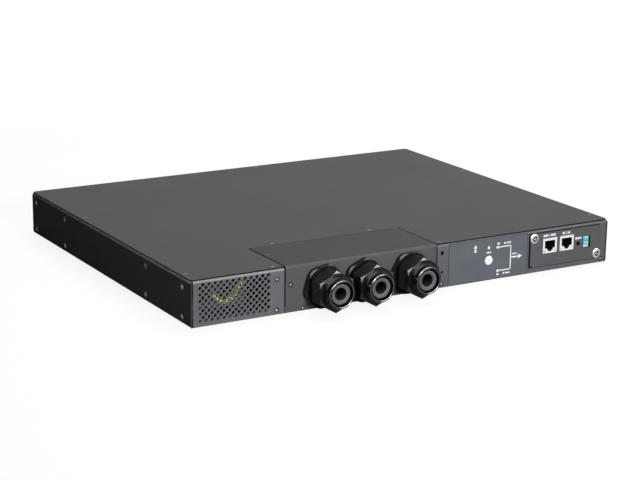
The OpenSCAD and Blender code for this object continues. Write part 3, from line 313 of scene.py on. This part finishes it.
def metal(name, colour, rough, along=(1, 1, 1), bare=0.5):
    """Bare or satin-plated metal with fine streaks along one direction."""
    nodes = Nodes(name)
    streaks = nodes.noise(0.8 * MM, 4, 0.6, along)
    nodes.feed(Base_Color=nodes.drift(streaks, shades(colour, 0.12)),
               Roughness=nodes.levels(nodes.noise(5 * MM, 3), *rough),
               Metallic=bare)
    nodes.bump(streaks, 0.1, 0.02 * MM)
    return nodes.material


def dark_screws(name, grey, front=FRONT):
    """Blackened steel, with a painted highlight in the recess of a head."""
    nodes = Nodes(name)
    depth = 0.25 * MM            # a head's painted highlight starts this far under its face
    speck = nodes.drift(nodes.noise(0.6 * MM, 3), shades((grey, grey, grey * 1.05), 0.3))
    behind = nodes.maths("GREATER_THAN", nodes.axis("Position", "Y"), front + depth)
    below = nodes.maths("LESS_THAN", nodes.axis("Position", "Z"), TOP - depth)
    recess = nodes.maths("MULTIPLY", behind, below)
    nodes.feed(Base_Color=nodes.mixed(recess, speck, RECESS_GLINT),
               Roughness=nodes.levels(nodes.noise(1 * MM, 3), 0.25, 0.4),
               Specular_IOR_Level=0.3)
    nodes.bump(nodes.noise(0.4 * MM), 0.1, 0.02 * MM)
    return nodes.material


def black_nylon(name, gloss, rough):
    """Moulded black nylon: chamfers rougher from scuffing and painted paler as a highlight; the
    dome nuts' rims polished smoother, with a painted highlight.
    """
    nodes = Nodes(name)
    rim_depth, rim_sheen_share, rim_polish = 4 * MM, 0.5, 0.15
    steep, shallow = 0.45, 0.93        # a chamfer faces the front by a share between these
    scuff_dullness = 0.3
    rim = nodes.maths("LESS_THAN", nodes.axis("Position", "Y"), NOSE_END + rim_depth)
    sloping = nodes.between(nodes.facing("Y"), steep, shallow)
    sloping_rim = nodes.maths("MULTIPLY", sloping, rim)
    chamfer = nodes.maths("SUBTRACT", sloping, sloping_rim)
    scuff_and_sheen = nodes.maths("MULTIPLY", chamfer, nodes.levels(nodes.noise(2 * MM, 3), 0.6, 0.9))
    rim_sheen = nodes.maths("MULTIPLY", sloping_rim, rim_sheen_share)
    plain = nodes.drift(nodes.noise(CLOUD, 4), NYLON_SHADES)
    # chamfers painted paler as a highlight, and made rougher by scuffing below
    chamfer_sheen_colour = nodes.mixed(scuff_and_sheen, plain, CHAMFER_SHEEN_NYLON)
    dull = nodes.maths("ADD", nodes.levels(nodes.noise(1.5 * MM, 3), *rough),
                       nodes.maths("MULTIPLY", scuff_and_sheen, scuff_dullness))
    nodes.feed(Base_Color=nodes.mixed(rim_sheen, chamfer_sheen_colour, RIM_SHEEN_NYLON),
               Roughness=nodes.maths("SUBTRACT", dull, nodes.maths("MULTIPLY", rim, rim_polish)),
               Specular_IOR_Level=gloss)
    nodes.bump(nodes.noise(0.5 * MM), 0.03, 0.15 * MM)
    return nodes.material


def seal_rubber():
    """Grey rubber on the seal's rim; its bore and sides are painted dark as shade."""
    nodes = Nodes("grey_rubber")
    rim = nodes.drift(nodes.noise(3 * MM, 4), shades((0.1, 0.1, 0.108), 0.08))
    sides = nodes.maths("LESS_THAN", nodes.facing("Y"), SQUARE)
    nodes.feed(Base_Color=nodes.mixed(sides, rim, SHADOW_BLACK),
               Roughness=nodes.levels(nodes.noise(1 * MM), 0.55, 0.7),
               Specular_IOR_Level=0.2)
    nodes.bump(nodes.noise(0.4 * MM), 0.15, 0.1 * MM)
    return nodes.material


def painted_nuts():
    """Zinc clinch nuts, painted over with the wall outside and bright in their threads."""
    nodes = Nodes("painted_nuts")
    thread = nodes.drift(nodes.noise(0.8 * MM, 3), THREAD_SHADES)
    outside = nodes.maths("GREATER_THAN", nodes.facing("X"), SQUARE)
    nodes.feed(Base_Color=nodes.mixed(outside, thread, PAINTED_NUT),
               Roughness=nodes.levels(nodes.noise(1 * MM), 0.3, 0.45))
    return nodes.material


def socket_lamp(name, colour):
    """Lens that is lit in the first socket and milky in the second."""
    nodes = Nodes(name)
    lit = nodes.drift(nodes.noise(1 * MM, 3), shades(colour, 0.08))
    second_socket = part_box("local_jack_shell")[0][0]
    second = nodes.maths("GREATER_THAN", nodes.axis("Position", "X"), second_socket)
    nodes.feed(Base_Color=nodes.mixed(second, lit, MILKY_LENS),
               Roughness=nodes.levels(nodes.noise(1 * MM), 0.15, 0.25))
    return nodes.material


def earth_insulation():
    """Green and yellow stripes, under black sleeves at one end and through the partition."""
    nodes = Nodes("earth_insulation")
    wave = nodes.add("ShaderNodeTexWave", wave_type="BANDS", bands_direction="DIAGONAL")
    wave.inputs["Scale"].default_value = 70
    wave.inputs["Distortion"].default_value = 0.6
    nodes.link(nodes.place, wave.inputs["Vector"])
    stripes = nodes.drift(wave.outputs["Fac"], EARTH_COLOURS, 0.5, 0.58)
    across = nodes.axis("Position", "X")
    sleeved = nodes.maths("MAXIMUM", nodes.maths("LESS_THAN", across, END_SLEEVE),
                          nodes.between(across, *PARTITION_SLEEVE))
    nodes.feed(Base_Color=nodes.mixed(sleeved, stripes, SLEEVE_BLACK),
               Roughness=nodes.levels(nodes.noise(2 * MM), 0.3, 0.42))
    nodes.bump(nodes.noise(0.6 * MM), 0.1, 0.05 * MM)
    return nodes.material


def board_laminate():
    """Solder mask with faint tracks in relief."""
    nodes = Nodes("board_laminate")
    brick = nodes.add("ShaderNodeTexBrick")
    for name, value in (("Scale", 90), ("Mortar Size", 0.04), ("Color1", (0.012, 0.11, 0.05, 1)),
                        ("Color2", (0.018, 0.14, 0.065, 1)), ("Mortar", (0.03, 0.2, 0.09, 1))):
        brick.inputs[name].default_value = value
    nodes.link(nodes.place, brick.inputs["Vector"])
    nodes.feed(Base_Color=brick.outputs["Color"],
               Roughness=nodes.levels(nodes.noise(4 * MM), 0.25, 0.35))
    nodes.bump(brick.outputs["Fac"], 0.2, 0.03 * MM)
    return nodes.material


# one finish for each material slot of the record
MATERIALS = {
    "black_coat": powder_coat("black_coat", (0.118, 0.12, 0.131)),
    "lid_coat": powder_coat("lid_coat", (0.114, 0.112, 0.114), bend_sheen=0.15),
    "card_coat": powder_coat("card_coat", (0.103, 0.104, 0.111), 0.25, 0, shaded_plate_edges),
    "zinc_steel": metal("zinc_steel", (0.78, 0.79, 0.81), (0.25, 0.38), (1, 1, 0.15)),
    "black_steel": dark_screws("black_steel", 0.025),
    "black_nylon": black_nylon("black_nylon", 1.0, (0.21, 0.26)),
    "grey_rubber": seal_rubber(),
    "black_rubber": plain_finish("black_rubber", (0.02, 0.02, 0.02), rough=(0.6, 0.75)),
    "overlay_film": plain_finish("overlay_film", (0.105, 0.111, 0.13), grain=0.25 * MM,
                                 rough=(0.38, 0.46)),
    "clear_white": plain_finish("clear_white", (0.85, 0.86, 0.86), 0.03, rough=(0.2, 0.3)),
    "white_cap": plain_finish("white_cap", (0.88, 0.88, 0.87), 0.03, rough=(0.3, 0.4)),
    "dark_plastic": plain_finish("dark_plastic", (0.025, 0.025, 0.028), rough=(0.35, 0.5)),
    "board_laminate": board_laminate(),
    "white_nylon": plain_finish("white_nylon", (0.8, 0.8, 0.76), 0.04, rough=(0.4, 0.5)),
    "plated_shell": metal("plated_shell", (0.92, 0.92, 0.92), (0.25, 0.35), (0.2, 1, 1),
                          bare=0.15),
    "gold_plate": metal("gold_plate", (0.83, 0.62, 0.25), (0.18, 0.3)),
    "green_lens": socket_lamp("green_lens", (0.25, 0.72, 0.42)),
    "amber_lens": socket_lamp("amber_lens", (0.95, 0.6, 0.33)),
    "blue_plastic": plain_finish("blue_plastic", (0.09, 0.56, 0.7), rough=(0.25, 0.35)),
    "white_slider": plain_finish("white_slider", (0.88, 0.88, 0.86), 0.03, rough=(0.3, 0.4)),
    "black_insulation": plain_finish("black_insulation", (0.03, 0.03, 0.03), rough=(0.35, 0.45)),
    "green_plastic": plain_finish("green_plastic", (0.08, 0.3, 0.16), rough=(0.35, 0.45)),
    "sink_aluminium": metal("sink_aluminium", (0.06, 0.06, 0.065), (0.4, 0.55), (1, 0.1, 1)),
    "module_plastic": plain_finish("module_plastic", (0.05, 0.05, 0.06), rough=(0.4, 0.55)),
    "capacitor_sleeve": plain_finish("capacitor_sleeve", (0.04, 0.08, 0.22), rough=(0.2, 0.3)),
    "core_steel": metal("core_steel", (0.1, 0.1, 0.11), (0.45, 0.6), (0.1, 1, 0.1), bare=0.3),
    "coil_tape": plain_finish("coil_tape", (0.035, 0.03, 0.02), rough=(0.3, 0.4)),
    "earth_insulation": earth_insulation(),
}

# parts whose finish differs a little from that of their slot
DULL_NYLON = black_nylon("dull_nylon", 0.35, (0.3, 0.38))
DEEP_BLACK = plain_finish("deep_black", (0.006, 0.006, 0.007), rough=(0.4, 0.5),
                          Specular_IOR_Level=0.2)
NUTS = painted_nuts()
OWN_FINISH = {
    "wiring_cover": powder_coat("cover_coat", (0.089, 0.089, 0.095), bend_sheen=0.06),
    "panel_screws": dark_screws("dull_zinc", 0.035),
    "lid_screws": dark_screws("lid_screw_steel", 0.17),
    # the tray's coat is darker than the other black panels: painted shade on its sides
    "base_tray": powder_coat("shaded_tray_coat", (0.042, 0.042, 0.044), bend_sheen=0.8),
    # near black as painted shade: the zinc frame is seen only through holes, which stay dark
    "compartment_frame": plain_finish("shade_black_frame", (0.03, 0.03, 0.032), grain=0.8 * MM,
                                      relief=0.1, rough=(0.5, 0.6), Specular_IOR_Level=0.05),
    "card_screws": dark_screws("card_screw_steel", 0.012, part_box("card_screws")[0][1]),
    "vent_panel": powder_coat("vent_coat", (0.122, 0.124, 0.135), bend_sheen=0.75),
    "front_panel": powder_coat("panel_coat", (0.117, 0.119, 0.13), bend_sheen=0.25,
                               shade_where=painted_card_shadow),
    "network_jack_insert": DEEP_BLACK,
    "local_jack_insert": DEEP_BLACK,
    "reset_plunger": DEEP_BLACK,
    "left_clinch_nuts": NUTS,
    "right_clinch_nuts": NUTS,
    "gland_1_body": DULL_NYLON,
    "gland_2_body": DULL_NYLON,
    "gland_3_body": DULL_NYLON,
    "gland_locknuts": DULL_NYLON,
}


def dress_frame():
    """Give every CAD node its own finish, or the material of its slot in the record."""
    for part in frame["record"]["subparts"]:
        finish = OWN_FINISH.get(part["node"], MATERIALS[part["material_slot"]])
        mesh = frame["nodes"][part["node"]].data
        mesh.materials.clear()
        mesh.materials.append(finish)


# ---------- stage ----------

FLOOR_HALF = 12              # m, half the floor's side
FLOOR_COLOUR = 0.18
FLOOR_LIFT = 0.87            # added near the object, for the camera alone; far off it is 1
LIFT_FADE = (0.5, 1.6)       # m from the object, between which the lift grows to 1


def make_stage():
    """Pale floor, white to the camera where it is lit, with the object's shadow on it."""
    mesh = bpy.data.meshes.new("floor")
    corners = [(-FLOOR_HALF, -FLOOR_HALF), (FLOOR_HALF, -FLOOR_HALF),
               (FLOOR_HALF, FLOOR_HALF), (-FLOOR_HALF, FLOOR_HALF)]
    mesh.from_pydata([(x, y, FLOOR) for x, y in corners], [], [(0, 1, 2, 3)])
    floor = bpy.data.objects.new("floor", mesh)
    bpy.context.scene.collection.objects.link(floor)
    nodes = Nodes("floor")
    nodes.feed(Base_Color=(FLOOR_COLOUR,) * 3, Roughness=0.9, Specular_IOR_Level=0.0)
    away = nodes.add("ShaderNodeVectorMath", operation="LENGTH")
    nodes.link(nodes.add("ShaderNodeNewGeometry").outputs["Position"], away.inputs[0])
    lift = nodes.spread(away.outputs["Value"], *LIFT_FADE, FLOOR_LIFT, 1, smooth=True)
    seen = nodes.add("ShaderNodeLightPath").outputs["Is Camera Ray"]
    glow = nodes.add("ShaderNodeEmission")
    nodes.link(nodes.maths("MULTIPLY", seen, lift), glow.inputs["Strength"])
    both = nodes.add("ShaderNodeAddShader")
    nodes.link(nodes.shader.outputs["BSDF"], both.inputs[0])
    nodes.link(glow.outputs["Emission"], both.inputs[1])
    nodes.link(both.outputs["Shader"], nodes.tree.nodes["Material Output"].inputs["Surface"])
    mesh.materials.append(nodes.material)


WORLD_LEVEL = 0.16
WORLD_FADE = (-0.5, 1)       # between these x of a direction the plain light grows

# what gloss alone mirrors: a level, and for each side of the patch an axis of the
# direction, where the patch ends, and where it is full
SOFTBOX = (14, (("X", 0.8, 0.45), ("Y", 0.06, -0.1), ("Y", -0.92, -0.65), ("Z", 0.4, 0.6)))
BOUNCE = (1.6, (("X", -0.1, -0.35), ("Y", 0.5, 0.7), ("Z", 0, 0.08), ("Z", 0.5, 0.3)))


def make_world():
    """White surroundings to the camera, and plain light, dimmer from the left, to the rest.

    Gloss also mirrors a bright softbox at the upper left and a dim bounce behind the left."""
    world = bpy.data.worlds.new("world")
    world.use_nodes = True
    bpy.context.scene.world = world
    nodes = Tree(world.node_tree)
    axes = nodes.letters(nodes.add("ShaderNodeTexCoord").outputs["Generated"])
    ray = nodes.add("ShaderNodeLightPath").outputs
    plain = nodes.spread(axes["X"], *WORLD_FADE, 0, 2 * WORLD_LEVEL)
    mirrored = []
    for level, sides in (SOFTBOX, BOUNCE):
        fades = [nodes.spread(axes[letter], end, full, smooth=True)
                 for letter, end, full in sides]
        mirrored.append(nodes.joined("MULTIPLY", ray["Is Glossy Ray"], level, *fades))
    background = nodes.tree.nodes["Background"]
    background.inputs["Color"].default_value = (1, 1, 1, 1)
    nodes.link(nodes.joined("ADD", plain, *mirrored, ray["Is Camera Ray"]),
               background.inputs["Strength"])


def soft_light(name, place, aim, size, level, mirrored, spread):
    """Rectangular area light that gives about level, as a share of full white, where it aims."""
    way = Vector(aim) - Vector(place)
    data = bpy.data.lights.new(name, "AREA")
    data.shape = "RECTANGLE"
    data.size, data.size_y = size
    data.spread = math.radians(spread)
    data.energy = level * (math.pi * way.length * spread / 180) ** 2
    lamp = bpy.data.objects.new(name, data)
    lamp.visible_glossy = mirrored
    lamp.location = place
    lamp.rotation_euler = way.to_track_quat("-Z", "Y").to_euler()
    bpy.context.scene.collection.objects.link(lamp)


# name, place, aim and size in metres, level, whether gloss mirrors it, spread in degrees
LIGHTS = (
    ("top_light", (1.0, 0.3, 1.7), (0.3, 0, 0), (0.9, 0.9), 0.42, False, 50),
    ("strip_light", (0.3, 0.45, 1.9), (0, -0.1, 0), (1.1, 0.14), 0.18, False, 180),
    ("rear_light", (0.3, 2.6, 1.0), (0.1, 0.2, 0), (1.3, 0.9), 0.3, False, 180),
    ("front_light", (-0.04, -2.6, 0.75), (-0.04, -0.15, 0), (0.5, 0.6), 1.08, True, 40),
    ("side_light", (-1.7, -1.0, 0.45), (-0.22, -0.3, 0), (0.4, 0.3), 0.35, False, 30),
)


# ---------- printed marks ----------

PRINT_T = 0.04 * MM          # thickness of a layer of ink
CAPITAL = 0.7                # height of a numeral, as a share of the font's size
ARC_STEPS = 32               # straight pieces of an arc


class Print:
    """Flat strokes of ink on a face that looks towards -Y."""

    def __init__(self, name, slot, body, y):
        self.name, self.slot, self.body, self.y = name, slot, body, y
        self.mesh = bmesh.new()

    def slab(self, points):
        """Thin slab on a convex outline of (x, z) points, counterclockwise from the front."""
        back = [self.mesh.verts.new((x, self.y, z)) for x, z in points]
        front = [self.mesh.verts.new((x, self.y - PRINT_T, z)) for x, z in points]
        self.mesh.faces.new(front)
        self.mesh.faces.new(back[::-1])
        for i, j in zip(range(len(points)), [*range(1, len(points)), 0]):
            self.mesh.faces.new((back[i], back[j], front[j], front[i]))

    def disc(self, x, z, r, start=0.0, turn=2 * math.pi, inner=0.0):
        """Disc, or a ring or an arc of one, round (x, z)."""
        spots = [start + turn * k / ARC_STEPS for k in range(ARC_STEPS + 1)]
        if not inner:
            self.slab([(x + r * math.cos(a), z + r * math.sin(a)) for a in spots[:-1]])
            return
        for a, b in zip(spots, spots[1:]):
            self.slab([(x + q * math.cos(c), z + q * math.sin(c))
                       for q, c in ((inner, a), (r, a), (r, b), (inner, b))])

    def stroke(self, start, end, width):
        """Straight stroke with square ends."""
        a, b = Vector(start), Vector(end)
        side = (b - a).normalized() * width / 2
        side = Vector((side.y, -side.x))
        self.slab([tuple(p) for p in (a + side, b + side, b - side, a - side)])

    def bars(self, x, z, step, count, height, share):
        """Row of bars that stands for a caption, from x on; a bar fills share of its step."""
        for k in range(count):
            self.stroke((x + k * step, z), (x + (k + share) * step, z), height)

    def digit(self, text, x, z, height):
        """Numeral from the built-in font, centred at (x, z)."""
        curve = bpy.data.curves.new("numeral", "FONT")
        curve.body = text
        curve.size = height / CAPITAL
        curve.align_x = "CENTER"
        curve.extrude = PRINT_T / 2
        piece = bpy.data.objects.new("numeral", curve)
        flat = bpy.data.meshes.new_from_object(piece)
        flat.transform(Matrix.Translation((x, self.y - PRINT_T / 2, z - height / 2))
                       @ Matrix.Rotation(math.pi / 2, 4, "X"))
        self.mesh.from_mesh(flat)
        bpy.data.objects.remove(piece)
        bpy.data.curves.remove(curve)
        bpy.data.meshes.remove(flat)

    def finish(self, material):
        """The strokes as one piece, which rides on its body."""
        mesh = bpy.data.meshes.new(self.name)
        self.mesh.normal_update()
        self.mesh.to_mesh(mesh)
        self.mesh.free()
        mesh.materials.append(material)
        piece = bpy.data.objects.new(self.name, mesh)
        bpy.context.scene.collection.objects.link(piece)
        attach(piece, self.body)


def white_ink(name):
    """Screen-printed ink, a little thin in places."""
    return plain_finish(name, (0.8, 0.81, 0.82), 0.1, 0.15 * MM, 0.2, rough=(0.45, 0.6))


def print_overlay():
    """Arrow, lamp captions and the two-feed diagram, laid out in mm from the button's middle."""
    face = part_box("status_overlay")[0][1]
    button = middle("select_button")
    ink = Print("overlay_print", "white_cap", "chassis", face)
    line, fine, caption = 1.05 * MM, 0.45 * MM, 1.7 * MM
    ring, ring_hole = 1.35 * MM, 0.6 * MM

    def at(x, z):
        return button.x + x * MM, button.z + z * MM

    def bars(x, z, step, count, height):
        ink.bars(*at(x, z), step * MM, count, height * MM, 0.78)

    def arrowhead(x, z, length, half, across):
        """Solid arrowhead with its tip at (x, z), towards +X if across and else upwards."""
        corners = [(-length, -half), (0, 0), (-length, half)]
        if not across:
            corners = [(-v, u) for u, v in corners]
        ink.slab([at(x + u, z + v) for u, v in corners])

    # arrow over the first lamp
    arrow_x = -15.2
    arrowhead(arrow_x, 16.2, 3.2, 1.9, False)
    ink.stroke(at(arrow_x, 13), at(arrow_x, 11.8), fine)
    ink.disc(*at(arrow_x, 10.6), 1.3 * MM, inner=ring_hole)
    # lamp and caption over the button
    ink.disc(*at(-0.2, 11.7), ring, inner=ring_hole)
    bars(-2.7, 7.4, 1.35, 4, 1.45)
    # two feeds, each from a ring with captions beside it
    feed_x, join_x, out_z = 10.5, 24.5, -0.2
    for z, side, half in ((11.1, 1, 1.5), (-11.2, -1, 1.2)):
        ink.stroke(at(feed_x + 1.5, z), at(join_x + 0.4, z), line)
        ink.disc(*at(feed_x, z), ring, inner=0.5 * MM)
        ink.stroke(at(feed_x - half, z + side * 3.4), at(feed_x + half, z + side * 3.4), caption)
        ink.stroke(at(16.6, z + side * 3.1), at(18.2, z + side * 3.1), caption)
        bars(19.4, z + side * 3.2, 1.8, 3, 1.5)
    # the way out
    ink.stroke(at(join_x, 11.6), at(join_x, -11.7), line)
    ink.stroke(at(join_x, out_z), at(34, out_z), line)
    arrowhead(37.4, out_z, 4.4, 2.4, True)
    bars(26.3, 2.9, 1.7, 3, 1.3)
    ink.finish(white_ink("overlay_ink"))


def print_border():
    """Darker border of the overlay, where the film's cut edge shows."""
    low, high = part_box("status_overlay")
    edge = Print("overlay_border", "overlay_film", "chassis", low[1])
    width = 0.35 * MM
    x0, x1, z0, z1 = low[0] + width, high[0] - width, low[2] + width, high[2] - width
    corners = ((x0, z0), (x0, z1), (x1, z1), (x1, z0))
    for start, end in zip(corners, corners[1:] + corners[:1]):
        edge.stroke(start, end, width)
    edge.finish(plain_finish("border_ink", (0.02, 0.022, 0.028), rough=(0.4, 0.5)))


def print_button():
    """Open ring and dot on the button."""
    button = middle("select_button")
    mark = Print("button_mark", "overlay_film", "select_button_body",
                 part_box("select_button")[0][1])
    mark.disc(button.x, button.z, 2.5 * MM, math.radians(40), math.radians(290), 2.1 * MM)
    mark.disc(button.x, button.z, 0.7 * MM)
    mark.finish(plain_finish("mark_ink", (0.6, 0.62, 0.65), rough=(0.4, 0.5)))


def print_card():
    """Numbers between bars over the sockets, and a caption over the reset hole."""
    ink = Print("card_print", "white_cap", "chassis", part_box("card_plate")[0][1])
    share, numeral, bar_height, gap_left, gap_right = 0.86, 2.8 * MM, 2.1 * MM, 1.3 * MM, 1.5 * MM
    for number, jack, wing in (("1", "network_jack_shell", 5.8 * MM),
                               ("2", "local_jack_shell", 3.2 * MM)):
        x = middle(jack).x - 0.8 * MM
        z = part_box(jack)[1][2] + 2.7 * MM
        ink.digit(number, x, z, numeral)
        ink.bars(x - gap_left - wing, z, wing / 3, 3, bar_height, share)
        ink.bars(x + gap_right, z, wing / 3, 3, bar_height, share)
    hole = middle("reset_plunger")
    caption_width = 7.4 * MM
    ink.bars(hole.x - 3.6 * MM, hole.z + 5.2 * MM, caption_width / 5, 5, 2 * MM, share)
    ink.finish(white_ink("card_ink"))


def print_selector():
    """White bars along the selector's lower and upper edge."""
    low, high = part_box("selector_body")
    marks = Print("selector_print", "white_cap", "chassis", low[1])
    inset = 0.35 * MM
    for z, height in ((low[2] + 0.8 * MM, 1.1 * MM), (high[2] - 0.8 * MM, 0.7 * MM)):
        marks.stroke((low[0] + inset, z), (high[0] - inset, z), height)
    marks.finish(white_ink("selector_ink"))


bpy.context.scene.view_settings.view_transform = "Standard"
make_camera()
make_stage()
make_world()
for light in LIGHTS:
    soft_light(*light)
dress_frame()
print_overlay()
print_border()
print_button()
print_card()
print_selector()
